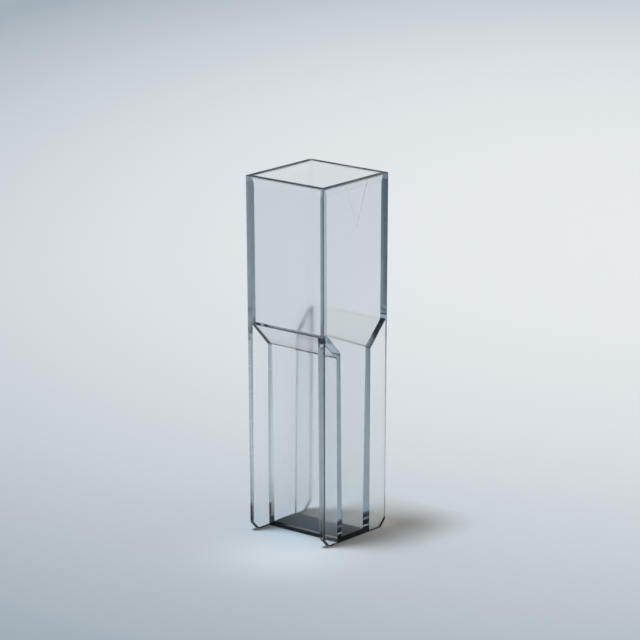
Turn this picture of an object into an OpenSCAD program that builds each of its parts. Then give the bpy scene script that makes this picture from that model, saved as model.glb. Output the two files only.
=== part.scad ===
// Semi-micro cuvette, moulded in one piece of clear plastic.
// Frame: origin in the middle of the base, +Z up to the rim, light path along Y.
// The two optical faces are square to Y, and the narrow side of the chamber runs along X.

/* [Outside] */
// Height from the base to the rim
height = 45; // [38:0.5:60]
// Width at the rim, over the side walls
rim_w = 12.5; // [11.5:0.1:14]
// Depth at the rim, over the optical faces
rim_d = 12.5; // [12.2:0.1:14]
// Width at the base, over the fins
base_w = 12.08; // [11:0.02:13]
// Depth at the base, over the optical faces
base_d = 12.08; // [11.8:0.02:13]
// Radius of the four upright outer edges
edge_r = 0.35; // [0.1:0.05:0.5]

/* [Hopper] */
// Thickness of the two side walls
side_wall = 0.95; // [0.6:0.01:1.4]
// Thickness of the two optical walls above the chamber
face_wall = 0.98; // [0.6:0.02:1.1]
// Height of the lead-in around the inside of the rim
lead_in_h = 1.1; // [0.4:0.1:3]
// How much the lead-in thins the walls at the rim
lead_in_t = 0.2; // [0.05:0.05:0.4]

/* [Shoulders] */
// Height at which the shoulders leave the chamber walls
shoulder_z = 23.5; // [16:0.5:30]
// Slope of the shoulders, up from level
shoulder_angle = 46.5; // [35:0.5:60]
// Thickness of the shoulders, square to their slope
shoulder_wall = 0.8; // [0.6:0.02:1.4]

/* [Chamber] */
// Width over the chamber walls, at the shoulders
chamber_top_w = 6.54; // [5.8:0.02:7.6]
// Width over the chamber walls, at the base
chamber_base_w = 6.2; // [5.6:0.02:7.6]
// Width inside the chamber, at the shoulders
bore_top_w = 4.95; // [4.5:0.05:5.4]
// Width inside the chamber, at its floor
bore_base_w = 4.1; // [3.8:0.05:5]
// Light path inside the chamber, at the shoulders
path_top = 10.1; // [9.5:0.02:10.3]
// Light path inside the chamber, at its floor
path_base = 9.9; // [9.4:0.02:10.2]
// Thickness of the floor
floor_t = 0.42; // [0.3:0.02:2]

/* [Fins] */
// Thickness of the fins, at the shoulders
fin_top_t = 0.95; // [0.6:0.01:1.2]
// Thickness of the fins, at the base
fin_base_t = 0.75; // [0.5:0.01:1.2]
// Bevel across the lower outer corners of the fins
fin_bevel = 1.1; // [0.4:0.1:2]

/* [Light path mark] */
// Width of the triangle, along the rim
mark_w = 4.2; // [2:0.1:7]
// Height of the triangle, from the rim down to its point
mark_h = 5.8; // [3:0.1:10]
// Depth of the triangle in the optical face
mark_depth = 0.05; // [0.05:0.01:0.3]

/* [Hidden] */

$fn = 48;
// Overrun that lets a cut pass clean through a face
over = 1;
// Share of the edge radius by which its axis lies inside each face
edge_share = 0.98;

// Half of a size that runs evenly from low, at the base, to high, at the rim
function half_at(low, high, z) = (low + (high - low) * z / height) / 2;
// Height at which the slope of a shoulder's outer side passes half width x
function shoulder_line(x) = shoulder_z + (x - chamber_top_w / 2) * tan(shoulder_angle);
// Height at which the slope of a shoulder's inner side passes half width x
function funnel_line(x) = shoulder_line(x) + shoulder_wall / cos(shoulder_angle);

lead_in_z = height - lead_in_h;
funnel_low_z = funnel_line(bore_top_w / 2);
// Where the inner side of a shoulder meets the side wall, both being straight lines
wall_rise = (rim_w - base_w) / 2 / height;
funnel_high_z = funnel_line(base_w / 2 - side_wall) / (1 - wall_rise * tan(shoulder_angle));
// Half width and half depth that are clear of everything
clear_w = max(rim_w, base_w) / 2 + over;
clear_d = max(rim_d, base_d) / 2 + over;

// A prism with its outline in X and Z, from -d to +d along Y
module prism_xz(outline, d) {
    rotate([90, 0, 0]) linear_extrude(height = 2 * d, center = true) polygon(outline);
}

// A prism with its outline in Y and Z, from -w to +w along X
module prism_yz(outline, w) {
    rotate([90, 0, 90]) linear_extrude(height = 2 * w, center = true) polygon(outline);
}

// Closes a right-hand outline by mirroring its points to the left
function both_sides(right) = concat(
    right, [for (i = [len(right) - 1 : -1 : 0]) [-right[i][0], right[i][1]]]);

// The drafted block that the four outer faces bound
module outer_block() {
    intersection() {
        prism_xz(both_sides([[base_w / 2, 0], [rim_w / 2, height]]), clear_d);
        prism_yz(both_sides([[base_d / 2, 0], [rim_d / 2, height]]), clear_w);
    }
}

// What the radius takes off one upright edge, which leans inwards with the draft
module edge_cut() {
    lean_w = (rim_w - base_w) / 2;
    lean_d = (rim_d - base_d) / 2;
    lean = atan(norm([lean_w, lean_d]) / height);
    inset = edge_r * edge_share;
    translate([base_w / 2 - inset, base_d / 2 - inset, 0])
        rotate(a = lean, v = [-lean_d, lean_w, 0])
            translate([0, 0, -over])
                difference() {
                    cube([2 * edge_r, 2 * edge_r, height + 2 * over]);
                    translate([0, 0, -over]) cylinder(r = edge_r, h = height + 4 * over);
                }
}

// Hopper, funnel and chamber, as one hollow that is open at the rim
module hollow() {
    lead_in_slope = lead_in_t / lead_in_h;
    inner_w = both_sides([
        [bore_base_w / 2, floor_t],
        [bore_top_w / 2, funnel_low_z],
        [half_at(base_w, rim_w, funnel_high_z) - side_wall, funnel_high_z],
        [half_at(base_w, rim_w, lead_in_z) - side_wall, lead_in_z],
        [rim_w / 2 - side_wall + lead_in_t, height],
        [rim_w / 2 - side_wall + lead_in_t + over * lead_in_slope, height + over]]);
    inner_d = both_sides([
        [path_base / 2, floor_t],
        [path_top / 2, funnel_low_z],
        [half_at(base_d, rim_d, funnel_high_z) - face_wall, funnel_high_z],
        [half_at(base_d, rim_d, lead_in_z) - face_wall, lead_in_z],
        [rim_d / 2 - face_wall + lead_in_t, height],
        [rim_d / 2 - face_wall + lead_in_t + over * lead_in_slope, height + over]]);
    intersection() {
        prism_xz(inner_w, clear_d);
        prism_yz(inner_d, clear_w);
    }
}

// The open recess beside the chamber, between the two fins, under a shoulder
module side_recess() {
    top_z = shoulder_line(clear_w);
    fin_rise = (half_at(base_d, rim_d, shoulder_z) - fin_top_t
        - (base_d / 2 - fin_base_t)) / shoulder_z;
    low_half_d = base_d / 2 - fin_base_t - over * fin_rise;
    top_half_d = base_d / 2 - fin_base_t + top_z * fin_rise;
    wall_lean = (chamber_top_w - chamber_base_w) / 2 / shoulder_z;
    intersection() {
        prism_xz([
            [clear_w, -over],
            [clear_w, top_z],
            [chamber_top_w / 2, shoulder_z],
            [chamber_base_w / 2 - over * wall_lean, -over]], clear_d);
        prism_yz(both_sides([[low_half_d, -over], [top_half_d, top_z]]), clear_w);
    }
}

// The bevel across the lower outer corners of both fins on one side
module fin_corner_cut() {
    prism_xz([
        [base_w / 2 - fin_bevel - over, -over],
        [base_w / 2 + over, -over],
        [base_w / 2 + over, fin_bevel + over]], clear_d);
}

// The triangle that points down the optical face from the rim
module path_mark() {
    mark_slope = (rim_d - base_d) / 2 / height;
    face_lean = atan(mark_slope);
    translate([0, -rim_d / 2, height])
        rotate([face_lean, 0, 0])
            translate([0, mark_depth, 0])
                rotate([90, 0, 0])
                    linear_extrude(height = mark_depth + over)
                        polygon([
                            [0, -mark_h],
                            [mark_w / 2 * (1 + over / mark_h), over],
                            [-mark_w / 2 * (1 + over / mark_h), over]]);
}

// The whole cuvette, in one piece
module cuvette() {
    color([0.86, 0.91, 0.94, 0.45])
        difference() {
            outer_block();
            hollow();
            for (side = [0, 1]) mirror([side, 0, 0]) {
                side_recess();
                fin_corner_cut();
                for (face = [0, 1]) mirror([0, face, 0]) edge_cut();
            }
            path_mark();
        }
}

cuvette();
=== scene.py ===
"""A clear semi-micro cuvette that stands on a pale bench.

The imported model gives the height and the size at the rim. The cuvette is modelled again
around it, with the small radii that a moulding has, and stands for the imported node.
"""

import logging
import math
from collections.abc import Callable
from dataclasses import astuple, dataclass
from enum import Enum

import bmesh
import bpy
from mathutils import Euler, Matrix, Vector

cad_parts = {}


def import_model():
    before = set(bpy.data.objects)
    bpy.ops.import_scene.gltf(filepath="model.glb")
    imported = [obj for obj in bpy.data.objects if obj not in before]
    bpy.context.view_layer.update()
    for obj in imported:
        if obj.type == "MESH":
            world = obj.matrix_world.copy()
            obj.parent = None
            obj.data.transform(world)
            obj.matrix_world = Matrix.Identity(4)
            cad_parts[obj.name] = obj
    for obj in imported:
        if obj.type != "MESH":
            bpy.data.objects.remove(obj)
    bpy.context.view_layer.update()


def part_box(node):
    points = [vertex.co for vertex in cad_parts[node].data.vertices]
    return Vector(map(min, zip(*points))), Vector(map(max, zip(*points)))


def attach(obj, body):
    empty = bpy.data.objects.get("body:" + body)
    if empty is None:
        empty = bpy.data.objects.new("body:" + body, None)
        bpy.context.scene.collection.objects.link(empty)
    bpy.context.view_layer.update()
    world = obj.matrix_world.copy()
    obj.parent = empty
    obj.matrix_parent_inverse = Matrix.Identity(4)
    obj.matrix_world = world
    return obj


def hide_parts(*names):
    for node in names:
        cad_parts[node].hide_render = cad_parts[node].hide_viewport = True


MM = 0.001
SAME_HEIGHT = 1e-6
NO_SIZE = 1e-9
UPRIGHT_SLOPE = 2.0
CORNER_SLOPE = 0.1
MIRROR_BOUNCES = 24
ALL_BOUNCES = 48
LOG = logging.getLogger("cuvette")

Box = tuple[Vector, Vector]
Colour = tuple[float, float, float]
EdgeTest = Callable[[Vector, Vector], bool]
Inputs = dict[str | int, object]

WHITE: Colour = (1.0, 1.0, 1.0)


class Side(Enum):
    """The two sides, of the chamber or of the bench."""

    RIGHT = 1
    LEFT = -1


class Facets(Enum):
    """How many facets an edge gets: a flat bevel, a fine round or a full one."""

    FLAT = 1
    FINE = 3
    FULL = 8


# ---------------------------------------------------------------- modelling helpers


@dataclass(frozen=True)
class Level:
    """A level rectangle that a lofted solid passes through, in metres."""

    z: float
    x_low: float
    x_high: float
    half_d: float

    @classmethod
    def centred(cls, z: float, half_w: float, half_d: float) -> "Level":
        """Makes a rectangle around the upright axis."""
        return cls(z, -half_w, half_w, half_d)

    @property
    def box(self) -> Box:
        """The rectangle's lowest and highest corners."""
        low = Vector((self.x_low, -self.half_d, self.z))
        return low, Vector((self.x_high, self.half_d, self.z))

    def towards(self, other: "Level", share: float) -> "Level":
        """Gives the rectangle that lies a share of the way to another one."""
        ends = zip(astuple(self), astuple(other))
        return Level(*((1 - share) * a + share * b for a, b in ends))


def eased(before: Level, corner: Level, after: Level, reach: float, facets: Facets) -> list[Level]:
    """Turns the corner between two stretches of a loft into a smooth curve.

    Args:
        before: The rectangle at the far end of the stretch above the corner.
        corner: The rectangle at the corner itself.
        after: The rectangle at the far end of the stretch below the corner.
        reach: How far down each stretch the curve goes, as a height.
        facets: How finely the curve is divided.

    Returns:
        The rectangles that take the corner's place, in order.
    """
    start = corner.towards(before, reach / abs(before.z - corner.z))
    end = corner.towards(after, reach / abs(after.z - corner.z))
    shares = [step / facets.value for step in range(facets.value + 1)]
    return [start.towards(corner, t).towards(corner.towards(end, t), t) for t in shares]


def select_only(piece: bpy.types.Object) -> None:
    """Makes one object the active one, and the only one selected.

    Args:
        piece: The object that the next operators act on.
    """
    bpy.ops.object.select_all(action="DESELECT")
    piece.select_set(True)
    bpy.context.view_layer.objects.active = piece


def start_editing(piece: bpy.types.Object) -> None:
    """Opens one object, and no other, in edit mode."""
    select_only(piece)
    bpy.ops.object.mode_set(mode="EDIT")


def stop_editing() -> None:
    """Goes back to object mode."""
    bpy.ops.object.mode_set(mode="OBJECT")


def selected_box() -> Box:
    """Measures what is selected in edit mode.

    Returns:
        The lowest and highest corners of the box around the selected vertices.
    """
    mesh = bmesh.from_edit_mesh(bpy.context.object.data)
    points = [v.co for v in mesh.verts if v.select]
    low = Vector(min(p[i] for p in points) for i in range(3))
    high = Vector(max(p[i] for p in points) for i in range(3))
    return low, high


def fit_selected(target: Box) -> None:
    """Resizes and moves what is selected until it fills a box.

    Args:
        target: The lowest and highest corners to reach. A flat selection keeps its flatness.
    """
    low, high = selected_box()
    size, wanted = high - low, target[1] - target[0]
    middle = (low + high) / 2
    scale = [wanted[i] / size[i] if size[i] > NO_SIZE else 1.0 for i in range(3)]
    bpy.ops.transform.resize(value=scale, center_override=middle)
    bpy.ops.transform.translate(value=(target[0] + target[1]) / 2 - middle)


def extrude_to(level: Level) -> None:
    """Extrudes the selected face to the next level of a loft.

    Args:
        level: The rectangle that the extruded face fills.
    """
    rise = level.z - selected_box()[0].z
    bpy.ops.mesh.extrude_region_move(TRANSFORM_OT_translate={"value": (0, 0, rise)})
    fit_selected(level.box)


def loft(name: str, levels: list[Level]) -> bpy.types.Object:
    """Lofts a solid through level rectangles, and leaves its last face selected.

    Args:
        name: The new object's name.
        levels: The rectangles, in order.

    Returns:
        The new object, open in edit mode.
    """
    bpy.ops.object.select_all(action="DESELECT")
    bpy.ops.mesh.primitive_plane_add(size=1)
    piece = bpy.context.object
    piece.name = name
    start_editing(piece)
    bpy.ops.mesh.select_all(action="SELECT")
    fit_selected(levels[0].box)
    for level in levels[1:]:
        extrude_to(level)
    return piece


def outward_normals() -> None:
    """Turns every face of the open mesh outwards, and keeps the mesh in edit mode."""
    bpy.ops.mesh.select_all(action="SELECT")
    bpy.ops.mesh.normals_make_consistent(inside=False)
    bpy.ops.mesh.select_all(action="DESELECT")


def round_edges(name: str, test: EdgeTest, radius: float, facets: Facets) -> None:
    """Rounds the edges of the open mesh whose two ends pass a test, and logs how many.

    Args:
        name: What the edges are called in the log.
        test: Takes an edge's two ends and says if the edge is one to round.
        radius: How far the round reaches along each face, in millimetres.
        facets: How finely the round is divided.
    """
    bpy.ops.mesh.select_mode(type="EDGE")
    bpy.ops.mesh.select_all(action="DESELECT")
    mesh = bmesh.from_edit_mesh(bpy.context.object.data)
    picked = [e for e in mesh.edges if test(e.verts[0].co, e.verts[1].co)]
    for edge in picked:
        edge.select_set(True)
    bmesh.update_edit_mesh(bpy.context.object.data)
    if picked:
        bpy.ops.mesh.bevel(offset=radius * MM, segments=facets.value, profile=0.5, affect="EDGES")
    bpy.ops.mesh.select_mode(type="FACE")
    bpy.ops.mesh.select_all(action="DESELECT")
    LOG.info("rounded %d %s", len(picked), name)


def apply_modifier(piece: bpy.types.Object, kind: str, **values: object) -> None:
    """Adds a modifier, and applies it.

    Args:
        piece: The object to change.
        kind: The modifier's type.
        values: The modifier's own settings.
    """
    modifier = piece.modifiers.new(kind.lower(), kind)
    for name, value in values.items():
        setattr(modifier, name, value)
    select_only(piece)
    bpy.ops.object.modifier_apply(modifier=modifier.name)


def cut(piece: bpy.types.Object, cutter: bpy.types.Object) -> None:
    """Takes a cutter's shape out of a piece, and deletes the cutter."""
    apply_modifier(piece, "BOOLEAN", operation="DIFFERENCE", solver="EXACT", object=cutter)
    bpy.data.objects.remove(cutter)


def is_upright(a: Vector, b: Vector) -> bool:
    """Says if an edge runs mostly up and down."""
    run = b - a
    return abs(run.z) > UPRIGHT_SLOPE * math.hypot(run.x, run.y)


def keeps_to_corner(a: Vector, b: Vector) -> bool:
    """Says if an edge leads down one corner, so that both ends are in the same quarter."""
    run = b - a
    return abs(run.z) > CORNER_SLOPE * math.hypot(run.x, run.y) and a.x * b.x > 0 and a.y * b.y > 0


# ---------------------------------------------------------------- the cuvette


@dataclass(frozen=True)
class CuvetteSizes:
    """The cuvette's sizes in millimetres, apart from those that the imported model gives.

    A width is across the two sides with the shoulders, and a depth is along the light's path.
    """

    base_w: float = 12.08
    base_d: float = 12.08
    outer_r: float = 0.35
    side_wall: float = 0.95
    face_wall: float = 0.98
    lead_in_h: float = 1.1
    lead_in_t: float = 0.2
    shoulder_z: float = 23.5
    shoulder_angle: float = 46.5
    shoulder_wall: float = 0.8
    chamber_top_w: float = 6.54
    chamber_base_w: float = 6.2
    bore_top_w: float = 4.95
    bore_base_w: float = 4.1
    path_top: float = 10.1
    path_base: float = 9.9
    floor_t: float = 0.42
    fin_top_t: float = 0.95
    fin_base_t: float = 0.75
    fin_bevel: float = 1.1
    mark_w: float = 4.2
    mark_h: float = 5.8
    mark_depth: float = 0.05
    inner_r: float = 0.1
    floor_r: float = 0.03
    funnel_ease: float = 0.02
    throat_ease: float = 0.02
    root_r: float = 0.03
    slope_r: float = 0.2
    edge_r: float = 0.05
    edge_angle: float = 30.0
    cutter_reach: float = 1.0
    pick_margin: float = 0.1
    slope_slack: float = 0.02
    plane_slack: float = 0.01


@dataclass
class Cuvette:
    """The one moulded piece: hopper, shoulders, chamber, fins and light path mark."""

    rim_w: float
    rim_d: float
    height: float
    sizes: CuvetteSizes = CuvetteSizes()

    def half_outer(self, z: float, deep: bool) -> float:
        """Measures the drafted outside at a height.

        Args:
            z: The height in millimetres.
            deep: Whether the depth is wanted, and not the width.

        Returns:
            Half of the outer width or depth, in millimetres.
        """
        low = self.sizes.base_d if deep else self.sizes.base_w
        high = self.rim_d if deep else self.rim_w
        return (low + (high - low) * z / self.height) / 2

    def shoulder_line(self, half_w: float) -> float:
        """The height at which the outer side of a shoulder passes a half width."""
        s = self.sizes
        return s.shoulder_z + (half_w - s.chamber_top_w / 2) * math.tan(math.radians(s.shoulder_angle))

    def funnel_line(self, half_w: float) -> float:
        """The height at which the inner side of a shoulder passes a half width."""
        s = self.sizes
        return self.shoulder_line(half_w) + s.shoulder_wall / math.cos(math.radians(s.shoulder_angle))

    def level(self, z: float, half_w: float, half_d: float) -> Level:
        """A rectangle around the axis, from millimetres."""
        return Level.centred(z * MM, half_w * MM, half_d * MM)

    def hollow_level(self, z: float) -> Level:
        """The hopper's inside at a height, where its walls have their full thickness."""
        s = self.sizes
        return self.level(z, self.half_outer(z, False) - s.side_wall, self.half_outer(z, True) - s.face_wall)

    def hollow_levels(self) -> list[Level]:
        """Lists the hollow's rectangles, with the curves at both ends of the funnel.

        Returns:
            The rectangles from the rim down to the chamber's floor.
        """
        s = self.sizes
        draft = (self.rim_w - s.base_w) / 2 / self.height
        slope = math.tan(math.radians(s.shoulder_angle))
        funnel_z = self.funnel_line(s.base_w / 2 - s.side_wall) / (1 - draft * slope)
        mouth_w = self.rim_w / 2 - s.side_wall + s.lead_in_t
        mouth_d = self.rim_d / 2 - s.face_wall + s.lead_in_t
        mouth = self.level(self.height, mouth_w, mouth_d)
        neck = self.hollow_level(self.height - s.lead_in_h)
        funnel = self.hollow_level(funnel_z)
        throat = self.level(self.funnel_line(s.bore_top_w / 2), s.bore_top_w / 2, s.path_top / 2)
        floor = self.level(s.floor_t, s.bore_base_w / 2, s.path_base / 2)
        return [
            mouth,
            neck,
            *eased(neck, funnel, throat, s.funnel_ease * MM, Facets.FULL),
            *eased(funnel, throat, floor, s.throat_ease * MM, Facets.FINE),
            floor,
        ]

    def body(self) -> bpy.types.Object:
        """Lofts the drafted block, sinks the hollow into it, and rounds its edges.

        Returns:
            The body, before the recesses and the mark are cut.
        """
        s = self.sizes
        base = self.level(0, s.base_w / 2, s.base_d / 2)
        rim = self.level(self.height, self.rim_w / 2, self.rim_d / 2)
        piece = loft("cuvette_shell", [base, rim])
        hollow = self.hollow_levels()
        bpy.ops.mesh.inset(thickness=s.side_wall * MM / 2)
        fit_selected(hollow[0].box)
        for level in hollow[1:]:
            extrude_to(level)
        outward_normals()
        self.round_body()
        stop_editing()
        return piece

    def round_body(self) -> None:
        """Bevels the fins' lower corners and rounds the upright edges, inside and out."""
        s = self.sizes
        near_side = (s.base_w / 2 - s.plane_slack) * MM
        mid_wall = (s.base_w / 2 - s.side_wall / 2) * MM
        inside = mid_wall + s.lead_in_t * MM

        def at_foot(a: Vector, b: Vector) -> bool:
            """Says if an edge runs along the foot of a side wall."""
            on_side = min(abs(a.x), abs(b.x)) > near_side and a.x * b.x > 0
            return on_side and max(a.z, b.z) < SAME_HEIGHT

        def up_outside(a: Vector, b: Vector) -> bool:
            """Says if an edge runs up one of the four outer corners."""
            return is_upright(a, b) and min(abs(a.x), abs(b.x), abs(a.y), abs(b.y)) > mid_wall

        def in_hollow(a: Vector, b: Vector) -> bool:
            """Says if an edge lies within the walls."""
            return max(abs(a.x), abs(b.x), abs(a.y), abs(b.y)) < inside

        def around_floor(a: Vector, b: Vector) -> bool:
            """Says if an edge runs around the chamber's floor."""
            return in_hollow(a, b) and all(abs(p.z / MM - s.floor_t) < s.plane_slack for p in (a, b))

        def down_hollow(a: Vector, b: Vector) -> bool:
            """Says if an edge runs down one of the hollow's four corners."""
            return in_hollow(a, b) and keeps_to_corner(a, b)

        round_edges("lower edges", at_foot, s.fin_bevel, Facets.FLAT)
        round_edges("outer edges", up_outside, s.outer_r, Facets.FULL)
        round_edges("floor edges", around_floor, s.floor_r, Facets.FINE)
        round_edges("inner edges", down_hollow, s.inner_r, Facets.FULL)

    def recess_cutter(self, side: Side) -> bpy.types.Object:
        """Lofts what is cut away beside the chamber, between the fins and under a shoulder.

        Args:
            side: The side of the chamber to cut.

        Returns:
            The cutter.
        """
        s = self.sizes
        clear = max(self.rim_w, s.base_w) / 2 + s.cutter_reach
        low_d = s.base_d / 2 - s.fin_base_t
        rise_d = (self.half_outer(s.shoulder_z, True) - s.fin_top_t - low_d) / s.shoulder_z
        lean_w = (s.chamber_top_w - s.chamber_base_w) / 2 / s.shoulder_z
        stations = [
            (-s.cutter_reach, s.chamber_base_w / 2 - s.cutter_reach * lean_w),
            (s.shoulder_z, s.chamber_top_w / 2),
            (self.shoulder_line(clear), clear),
        ]
        levels = []
        for z, inner in stations:
            ends = sorted((side.value * inner * MM, side.value * (clear + s.cutter_reach) * MM))
            levels.append(Level(z * MM, ends[0], ends[1], (low_d + z * rise_d) * MM))
        piece = loft(f"recess_cut_{side.name.lower()}", levels)
        outward_normals()
        stop_editing()
        return piece

    def mark_cutter(self) -> bpy.types.Object:
        """Shapes the triangle that points down one optical face from the rim.

        Returns:
            The cutter.
        """
        s = self.sizes
        half_w = s.mark_w / 2 * (1 + s.cutter_reach / s.mark_h)
        bpy.ops.object.select_all(action="DESELECT")
        bpy.ops.mesh.primitive_cylinder_add(vertices=3, rotation=(-math.pi / 2, 0, 0))
        bpy.ops.object.transform_apply(location=True, rotation=True, scale=True)
        piece = bpy.context.object
        piece.name = "mark_cut"
        start_editing(piece)
        bpy.ops.mesh.select_all(action="SELECT")
        face_y = -self.rim_d / 2
        low = Vector((-half_w, face_y - s.cutter_reach, self.height - s.mark_h)) * MM
        high = Vector((half_w, face_y + s.mark_depth, self.height + s.cutter_reach)) * MM
        fit_selected((low, high))
        self.lean_with_face(low.z)
        outward_normals()
        stop_editing()
        return piece

    def lean_with_face(self, point_z: float) -> None:
        """Moves the mark's lower point back, so that it follows the drafted face.

        Args:
            point_z: The height of the lower point, in metres.
        """
        s = self.sizes
        draft = (self.rim_d - s.base_d) / 2 / self.height
        mesh = bmesh.from_edit_mesh(bpy.context.object.data)
        for vertex in mesh.verts:
            vertex.select_set(abs(vertex.co.z - point_z) < SAME_HEIGHT)
        mesh.select_flush(True)
        bmesh.update_edit_mesh(bpy.context.object.data)
        bpy.ops.transform.translate(value=(0, draft * (s.mark_h + s.cutter_reach) * MM, 0))

    def round_recesses(self, piece: bpy.types.Object) -> None:
        """Rounds the roots of the shoulders and of the fins.

        Args:
            piece: The body, with its recesses cut.
        """
        s = self.sizes
        low_x = (s.chamber_base_w / 2 - s.pick_margin) * MM
        high_x = (s.chamber_top_w / 2 + s.pick_margin) * MM
        low_y = (self.half_outer(s.shoulder_z, True) - s.fin_top_t - s.pick_margin) * MM
        high_y = (s.base_d / 2 - s.fin_base_t + s.pick_margin) * MM

        def by_fin(p: Vector) -> bool:
            """Says if a point lies on the inner face of a fin."""
            return low_y < abs(p.y) < high_y

        def on_shoulder(p: Vector) -> bool:
            """Says if a point lies on the outer side of a shoulder."""
            return abs(p.z / MM - self.shoulder_line(abs(p.x) / MM)) < s.slope_slack and abs(p.x) > low_x

        def shoulder_root(a: Vector, b: Vector) -> bool:
            """Says if an edge is where a shoulder meets a fin or the chamber."""
            whole = abs(a.x - b.x) > MM or max(abs(a.x), abs(b.x)) < high_x
            return whole and all(by_fin(p) and on_shoulder(p) for p in (a, b))

        def fin_root(a: Vector, b: Vector) -> bool:
            """Says if an edge is where a fin meets the chamber."""
            return is_upright(a, b) and all(low_x < abs(p.x) < high_x and by_fin(p) for p in (a, b))

        start_editing(piece)
        round_edges("shoulder roots", shoulder_root, s.slope_r, Facets.FINE)
        round_edges("fin roots", fin_root, s.root_r, Facets.FINE)
        stop_editing()

    def build(self) -> bpy.types.Object:
        """Models the whole cuvette.

        Returns:
            The finished piece, with its place in its mesh.
        """
        s = self.sizes
        piece = self.body()
        for side in Side:
            cut(piece, self.recess_cutter(side))
        cut(piece, self.mark_cutter())
        self.round_recesses(piece)
        apply_modifier(
            piece, "BEVEL", width=s.edge_r * MM, segments=Facets.FINE.value, limit_method="ANGLE",
            angle_limit=math.radians(s.edge_angle), use_clamp_overlap=True)
        apply_modifier(piece, "WEIGHTED_NORMAL", keep_sharp=True)
        return piece


# ---------------------------------------------------------------- finishes


def opaque(colour: object) -> object:
    """Gives a plain colour its alpha, and leaves anything else as it is."""
    return (*colour, 1.0) if isinstance(colour, tuple) and len(colour) == 3 else colour


class Wiring:
    """Adds nodes to one tree, and links or sets their inputs by name or place."""

    def __init__(self, tree: bpy.types.NodeTree) -> None:
        """Keeps the tree that the nodes go into."""
        self.tree = tree

    def feed(self, node: bpy.types.Node, inputs: Inputs) -> None:
        """Links each input that is given another node's output, and sets the others.

        Args:
            node: The node to feed.
            inputs: Values or other nodes' outputs, by input name or place.
        """
        for name, value in inputs.items():
            if isinstance(value, bpy.types.NodeSocket):
                self.tree.links.new(value, node.inputs[name])
            else:
                node.inputs[name].default_value = value

    def add(self, kind: str, inputs: Inputs | None = None, **settings: object) -> bpy.types.Node:
        """Adds one node.

        Args:
            kind: The node's type, without its ShaderNode prefix.
            inputs: Values or other nodes' outputs, by input name or place.
            settings: The node's own settings, such as its operation.

        Returns:
            The new node.
        """
        node = self.tree.nodes.new(f"ShaderNode{kind}")
        for name, value in settings.items():
            setattr(node, name, value)
        self.feed(node, inputs or {})
        return node

    def maths(self, operation: str, *values: object) -> bpy.types.NodeSocket:
        """Adds a Math node, and gives its output."""
        return self.add("Math", dict(enumerate(values)), operation=operation).outputs[0]

    def times(self, first: object, second: object) -> bpy.types.NodeSocket:
        """Multiplies two numbers."""
        return self.maths("MULTIPLY", first, second)

    def squares(self, first: object, second: object) -> bpy.types.NodeSocket:
        """Adds the squares of two numbers."""
        return self.maths("ADD", self.times(first, first), self.times(second, second))

    def fade(self, value: object) -> bpy.types.NodeSocket:
        """Falls from 1 towards 0 as a number rises from 0."""
        return self.maths("EXPONENT", self.times(value, -1.0))

    def tinted(self, first: object, second: object) -> bpy.types.NodeSocket:
        """Multiplies two colours."""
        return self.add("VectorMath", {0: first, 1: second}, operation="MULTIPLY").outputs[0]

    def scaled(self, colour: object, share: object) -> bpy.types.NodeSocket:
        """Multiplies a colour by a number."""
        return self.add("VectorMath", {0: colour, "Scale": share}, operation="SCALE").outputs[0]

    def blend(self, share: object, first: object, second: object) -> bpy.types.NodeSocket:
        """Mixes two colours.

        Args:
            share: How much of the second colour there is, from 0 to 1.
            first: The colour at a share of 0.
            second: The colour at a share of 1.

        Returns:
            The mixed colour.
        """
        factor, colour_a, colour_b, colour_out = 0, 6, 7, 2
        node = self.add("Mix", data_type="RGBA")
        self.feed(node, {factor: share, colour_a: opaque(first), colour_b: opaque(second)})
        return node.outputs[colour_out]

    def ramp(
        self, value: object, start: object, end: object, low: object = 0.0, high: object = 1.0,
        easing: str = "LINEAR",
    ) -> bpy.types.NodeSocket:
        """Carries a number over from one range to another, and holds it at both ends.

        Args:
            value: The number to carry over.
            start: Where the first range starts.
            end: Where the first range ends.
            low: What the start becomes.
            high: What the end becomes.
            easing: How the result runs between the two.

        Returns:
            The number in its new range.
        """
        node = self.add("MapRange", {
            "Value": value, "From Min": start, "From Max": end, "To Min": low, "To Max": high,
        }, interpolation_type=easing)
        return node.outputs[0]


def new_material(name: str) -> tuple[bpy.types.Material, Wiring, bpy.types.Node]:
    """Makes a material with one Principled BSDF.

    Args:
        name: The material's name.

    Returns:
        The material, the wiring of its tree, and the shader.
    """
    material = bpy.data.materials.new(name)
    material.use_nodes = True
    return material, Wiring(material.node_tree), material.node_tree.nodes["Principled BSDF"]


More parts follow.
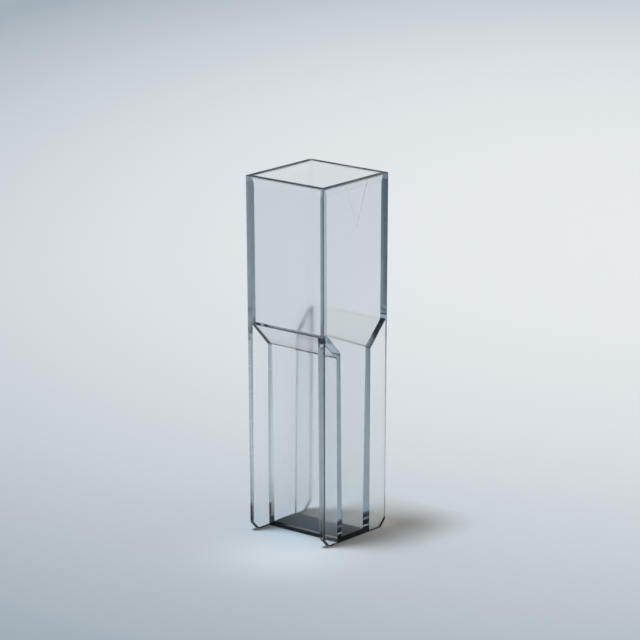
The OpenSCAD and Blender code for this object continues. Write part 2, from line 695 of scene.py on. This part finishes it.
@dataclass(frozen=True)
class ClearPlastic:
    """Clear moulded polystyrene, cool where it is thick and barely wavy from the mould.

    The base is the clearest part, and the top of the rim is slightly frosted.
    """

    colour: Colour = (0.995, 0.998, 1.0)
    ior: float = 1.59
    thick_colour: Colour = (0.1, 0.6, 0.9)
    density: float = 20.0
    least_roughness: float = 0.08
    most_roughness: float = 0.13
    haze_from: float = 0.35
    haze_to: float = 0.75
    clear_below: float = 0.0005
    hazy_above: float = 0.002
    base_share: float = 0.1
    frost_from: float = 0.0448
    frost_to: float = 0.0449
    rim_frost: float = 6.0
    wave_scale: float = 140.0
    wave_detail: float = 2.0
    wave_height: float = 2e-6

    def material(self) -> bpy.types.Material:
        """Builds the plastic's nodes.

        Returns:
            The plastic's material.
        """
        material, wiring, shader = new_material("clear_plastic")
        place = wiring.add("TexCoord").outputs["Object"]
        height = wiring.add("SeparateXYZ", {"Vector": place}).outputs[2]
        waves = wiring.add("TexNoise", {
            "Vector": place, "Scale": self.wave_scale, "Detail": self.wave_detail}).outputs[0]
        haze = wiring.ramp(
            waves, self.haze_from, self.haze_to, self.least_roughness, self.most_roughness)
        upper = wiring.ramp(height, self.clear_below, self.hazy_above, self.base_share)
        rim = wiring.ramp(height, self.frost_from, self.frost_to, 1.0, self.rim_frost)
        bump = wiring.add("Bump", {"Height": waves, "Distance": self.wave_height})
        wiring.feed(shader, {
            "Base Color": opaque(self.colour),
            "IOR": self.ior,
            "Transmission Weight": 1.0,
            "Roughness": wiring.times(wiring.times(haze, upper), rim),
            "Normal": bump.outputs[0],
        })
        tint = wiring.add("VolumeAbsorption", {
            "Color": opaque(self.thick_colour), "Density": self.density})
        wiring.feed(material.node_tree.nodes["Material Output"], {"Volume": tint.outputs[0]})
        return material


@dataclass(frozen=True)
class PaintedSpot:
    """A round patch of bench that painted light makes brighter, or that a painted tint of shade recolours.
    """

    at: tuple[float, float, float]
    reach: float
    gain: Colour


@dataclass(frozen=True)
class PaintedSideShade:
    """A painted shade to one side of the bench, which only the plastic's reflections show."""

    side: Side
    start: float
    end: float
    tint: Colour


@dataclass(frozen=True)
class PaleBench:
    """The pale bench top, with a pool of light painted into its colour, brightest behind the cuvette.

    The painted pool fades to a painted shaded tone around it. Further away the bench is pale again for all
    but the plastic's reflections, so that it is pale from every side.
    """

    pale: Colour = (0.79, 0.825, 0.85)
    shaded: Colour = (0.364, 0.426, 0.481)
    pool_along: float = 0.150
    pool_across: float = 0.058
    near_reach: float = 0.335
    far_reach: float = 0.477
    side_reach: float = 0.266
    fall_power: float = 2.54
    shaded_at: float = 0.70
    wide_tone: Colour = (0.7, 0.74, 0.77)
    wide_middle: float = 0.19
    wide_along: float = 0.25
    wide_across: float = 0.09
    wide_end: float = 2.2
    left_shade: PaintedSideShade = PaintedSideShade(Side.LEFT, 0.06, 0.14, (0.27, 0.35, 0.41))
    right_shade: PaintedSideShade = PaintedSideShade(Side.RIGHT, 0.042, 0.06, (0.8, 0.8, 0.8))
    # Painted light: a glow on the bench in front of the cuvette, where its walls throw light.
    painted_front_glow: PaintedSpot = PaintedSpot((-0.004, -0.011, 0.0), 0.0082, (0.25, 0.25, 0.25))
    # Painted light: a glow on the bench behind and under the cuvette, lightening its shadow.
    painted_rear_glow: PaintedSpot = PaintedSpot((0.0045, 0.0035, 0.0), 0.005, (1.6, 1.6, 1.6))
    # Painted shade tint: the shade under the cuvette, made bluer.
    painted_under_shade_tint: PaintedSpot = PaintedSpot((-0.001, 0.001, 0.0), 0.006, (-0.15, 0.05, 0.2))
    mirrored_share: float = 0.92
    glint_share: float = 0.5
    roughness: float = 0.8

    def material(self, heading: float) -> bpy.types.Material:
        """Builds the bench's nodes.

        Args:
            heading: Which way the painted pool of light lies from the cuvette, in radians from +Y about Z.

        Returns:
            The bench's material.
        """
        material, wiring, shader = new_material("pale_bench")
        place = wiring.add("TexCoord").outputs["Object"]
        turned = wiring.add(
            "VectorRotate", {"Vector": place, "Angle": -heading}, rotation_type="Z_AXIS").outputs[0]
        parts = wiring.add("SeparateXYZ", {"Vector": turned})
        across, along = parts.outputs[0], parts.outputs[1]
        path = wiring.add("LightPath")
        mirrored = wiring.maths("MINIMUM", path.outputs["Glossy Depth"], 1.0)
        # Painted light: a pool of light painted into the bench colour, with painted shade around it.
        tone = self.painted_pool_tone(wiring, across, along)
        wide = self.wide_share(wiring, across, along, wiring.maths("SUBTRACT", 1.0, mirrored))
        tone = wiring.blend(wide, tone, self.wide_tone)
        # Painted shade on each side of the bench, seen only in the plastic's reflections.
        for shade in (self.left_shade, self.right_shade):
            tone = wiring.tinted(tone, self.painted_side_shade(wiring, across, shade, mirrored))
        # Painted light and a painted tint of shade, in round patches near the cuvette.
        for spot in (self.painted_front_glow, self.painted_rear_glow, self.painted_under_shade_tint):
            tone = wiring.tinted(tone, self.painted_spot_gain(wiring, turned, spot))
        wiring.feed(shader, {
            "Base Color": wiring.scaled(tone, self.kept_share(wiring, path)),
            "Roughness": self.roughness,
            "Specular IOR Level": 0.0,
        })
        return material

    def painted_pool_tone(
        self, wiring: Wiring, across: bpy.types.NodeSocket, along: bpy.types.NodeSocket,
    ) -> bpy.types.NodeSocket:
        """Shapes the painted pool of light, which falls off at its own rate on each side.

        Args:
            wiring: The wiring of the bench's tree.
            across: How far right of the cuvette a point lies.
            along: How far behind the cuvette a point lies.

        Returns:
            The bench tone with the painted pool of light and the painted shade around it.
        """
        side = wiring.maths("DIVIDE", wiring.maths("SUBTRACT", across, self.pool_across), self.side_reach)
        ahead = wiring.maths("SUBTRACT", along, self.pool_along)
        near = wiring.maths("DIVIDE", ahead, -self.near_reach)
        far = wiring.maths("DIVIDE", ahead, self.far_reach)
        reach = wiring.squares(side, wiring.maths("MAXIMUM", near, far))
        lit = wiring.fade(wiring.maths("POWER", reach, self.fall_power / 2))
        return wiring.blend(wiring.ramp(lit, self.shaded_at, 1.0), self.shaded, self.pale)

    def wide_share(
        self, wiring: Wiring, across: bpy.types.NodeSocket, along: bpy.types.NodeSocket,
        most: bpy.types.NodeSocket,
    ) -> bpy.types.NodeSocket:
        """Turns the bench pale again outside an ellipse around the cuvette and the painted pool of light.

        Args:
            wiring: The wiring of the bench's tree.
            across: How far right of the cuvette a point lies.
            along: How far behind the cuvette a point lies.
            most: The share far away, which is 0 for a reflection.

        Returns:
            The share of the wide tone.
        """
        side = wiring.maths("DIVIDE", across, self.wide_across)
        ahead = wiring.maths("DIVIDE", wiring.maths("SUBTRACT", along, self.wide_middle), self.wide_along)
        away = wiring.squares(side, ahead)
        return wiring.ramp(away, 1.0, self.wide_end, 0.0, most, "SMOOTHSTEP")

    def painted_side_shade(
        self, wiring: Wiring, across: bpy.types.NodeSocket, shade: PaintedSideShade,
        mirrored: bpy.types.NodeSocket,
    ) -> bpy.types.NodeSocket:
        """Paints shade onto one side of the bench, which only the plastic's reflections show.

        Args:
            wiring: The wiring of the bench's tree.
            across: How far right of the cuvette a point lies.
            shade: The tone to that side, and where it starts and ends.
            mirrored: 1 for a reflection, and 0 for anything else.

        Returns:
            The colour that the tone is multiplied by.
        """
        start, end = shade.side.value * shade.start, shade.side.value * shade.end
        return wiring.blend(wiring.ramp(across, start, end, 0.0, mirrored), WHITE, shade.tint)

    def painted_spot_gain(
        self, wiring: Wiring, place: bpy.types.NodeSocket, spot: PaintedSpot,
    ) -> bpy.types.NodeSocket:
        """Paints light onto the bench in a round patch, or tints its shade.

        Args:
            wiring: The wiring of the bench's tree.
            place: The point on the bench.
            spot: The patch.

        Returns:
            The colour that the tone is multiplied by.
        """
        offset = wiring.add("VectorMath", {0: place, 1: spot.at}, operation="DISTANCE")
        spread = wiring.maths("DIVIDE", offset.outputs["Value"], spot.reach)
        extra = wiring.scaled(spot.gain, wiring.fade(wiring.times(spread, spread)))
        return wiring.add("VectorMath", {0: WHITE, 1: extra}, operation="ADD").outputs[0]

    def kept_share(self, wiring: Wiring, path: bpy.types.Node) -> bpy.types.NodeSocket:
        """Paints the bench darker with each reflection, and darker again in a reflection off the outside.

        Args:
            wiring: The wiring of the bench's tree.
            path: The Light Path node.

        Returns:
            The share of the tone that is kept.
        """
        kept = wiring.maths("POWER", self.mirrored_share, path.outputs["Glossy Depth"])
        within = wiring.maths("MINIMUM", path.outputs["Transmission Depth"], 1.0)
        outside = wiring.maths("SUBTRACT", 1.0, within)
        glint = wiring.times(path.outputs["Is Glossy Ray"], outside)
        return wiring.times(kept, wiring.ramp(glint, 0.0, 1.0, 1.0, self.glint_share))


# ---------------------------------------------------------------- the studio


@dataclass(frozen=True)
class Studio:
    """The bench, the soft light and the camera."""

    heading: float = math.radians(-50.3)
    tilt: float = math.radians(-14.69)
    roll: float = math.radians(-0.11)
    distance: float = 0.4615
    aim: tuple[float, float, float] = (0.00007, -0.00035, 0.02669)
    lens: float = 211.65
    clip_start: float = 0.01
    bench_size: float = 4.0
    bench_drop: float = 0.00008
    lamp_turn: float = math.radians(101)
    lamp_rise: float = math.radians(79.7)
    lamp_spread: float = math.radians(11)
    lamp_strength: float = 2.171
    lamp_colour: Colour = (0.943, 1.0, 1.059)
    fill_colour: Colour = (0.359, 0.32, 0.28)
    horizon: Colour = (0.79, 0.825, 0.85)
    overhead: Colour = (0.004, 0.005, 0.006)
    dark_from: float = 0.0
    dark_to: float = 0.08

    def lay_bench(self) -> None:
        """Lays the bench top just under the cuvette."""
        bpy.ops.object.select_all(action="DESELECT")
        bpy.ops.mesh.primitive_plane_add(size=self.bench_size, location=(0, 0, -self.bench_drop))
        bpy.ops.object.transform_apply(location=True, rotation=False, scale=False)
        bench = bpy.context.object
        bench.name = "bench"
        bench.data.materials.append(PaleBench().material(self.heading))

    def lamp_side(self) -> Vector:
        """Finds where the lamp hangs.

        Returns:
            The direction towards the middle of the lamp.
        """
        turn = self.heading + self.lamp_turn
        level = math.cos(self.lamp_rise)
        return Vector((-math.sin(turn) * level, math.cos(turn) * level, math.sin(self.lamp_rise)))

    def hang_lamp(self) -> None:
        """Hangs the broad soft lamp, which the plastic doesn't show."""
        data = bpy.data.lights.new("lamp", "SUN")
        data.energy = self.lamp_strength
        data.color = self.lamp_colour
        data.angle = self.lamp_spread
        lamp = bpy.data.objects.new("lamp", data)
        bpy.context.scene.collection.objects.link(lamp)
        lamp.rotation_euler = self.lamp_side().to_track_quat("Z", "Y").to_euler()
        lamp.visible_glossy = False
        lamp.visible_transmission = False

    def light(self) -> None:
        """Fills the shadows, and shows the plastic a pale horizon under a dark ceiling."""
        world = bpy.data.worlds.new("studio")
        bpy.context.scene.world = world
        world.use_nodes = True
        wiring = Wiring(world.node_tree)
        path = wiring.add("LightPath")
        direction = wiring.add("TexCoord").outputs["Generated"]
        rise = wiring.add("SeparateXYZ", {"Vector": direction}).outputs[2]
        height = wiring.ramp(rise, self.dark_from, self.dark_to)
        seen = wiring.blend(height, self.horizon, self.overhead)
        shown = wiring.blend(path.outputs["Is Camera Ray"], seen, self.horizon)
        scattered = wiring.maths("MINIMUM", path.outputs["Diffuse Depth"], 1.0)
        colour = wiring.blend(scattered, shown, self.fill_colour)
        wiring.feed(world.node_tree.nodes["Background"], {"Color": colour, "Strength": 1.0})

    def set_camera(self) -> None:
        """Points the camera at the cuvette."""
        data = bpy.data.cameras.new("camera")
        camera = bpy.data.objects.new("camera", data)
        bpy.context.scene.collection.objects.link(camera)
        data.lens = self.lens
        data.clip_start = self.clip_start
        data.clip_end = 2 * self.bench_size
        camera.rotation_euler = Euler((math.pi / 2 + self.tilt, 0, self.heading))
        camera.rotation_euler.rotate_axis("Z", self.roll)
        back = camera.rotation_euler.to_matrix() @ Vector((0, 0, 1))
        camera.location = Vector(self.aim) + self.distance * back
        bpy.context.scene.camera = camera

    def set_output(self) -> None:
        """Keeps colours as they are written, and lets light cross the plastic many times."""
        scene = bpy.context.scene
        scene.view_settings.view_transform = "Standard"
        scene.cycles.glossy_bounces = MIRROR_BOUNCES
        scene.cycles.transmission_bounces = MIRROR_BOUNCES
        scene.cycles.max_bounces = ALL_BOUNCES

    def build(self) -> None:
        """Builds the stage, the lights and the camera."""
        self.lay_bench()
        self.hang_lamp()
        self.light()
        self.set_camera()
        self.set_output()


def main() -> None:
    """Builds the scene in order, and reports each piece."""
    logging.basicConfig(level=logging.INFO, format="%(name)s: %(message)s")
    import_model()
    low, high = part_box("cuvette")
    size = (high - low) / MM
    piece = Cuvette(rim_w=size.x, rim_d=size.y, height=size.z).build()
    piece.data.materials.append(ClearPlastic().material())
    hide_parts("cuvette")
    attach(piece, "root")
    LOG.info("%s: %d faces", piece.name, len(piece.data.polygons))
    Studio().build()


if __name__ == "__main__":
    main()
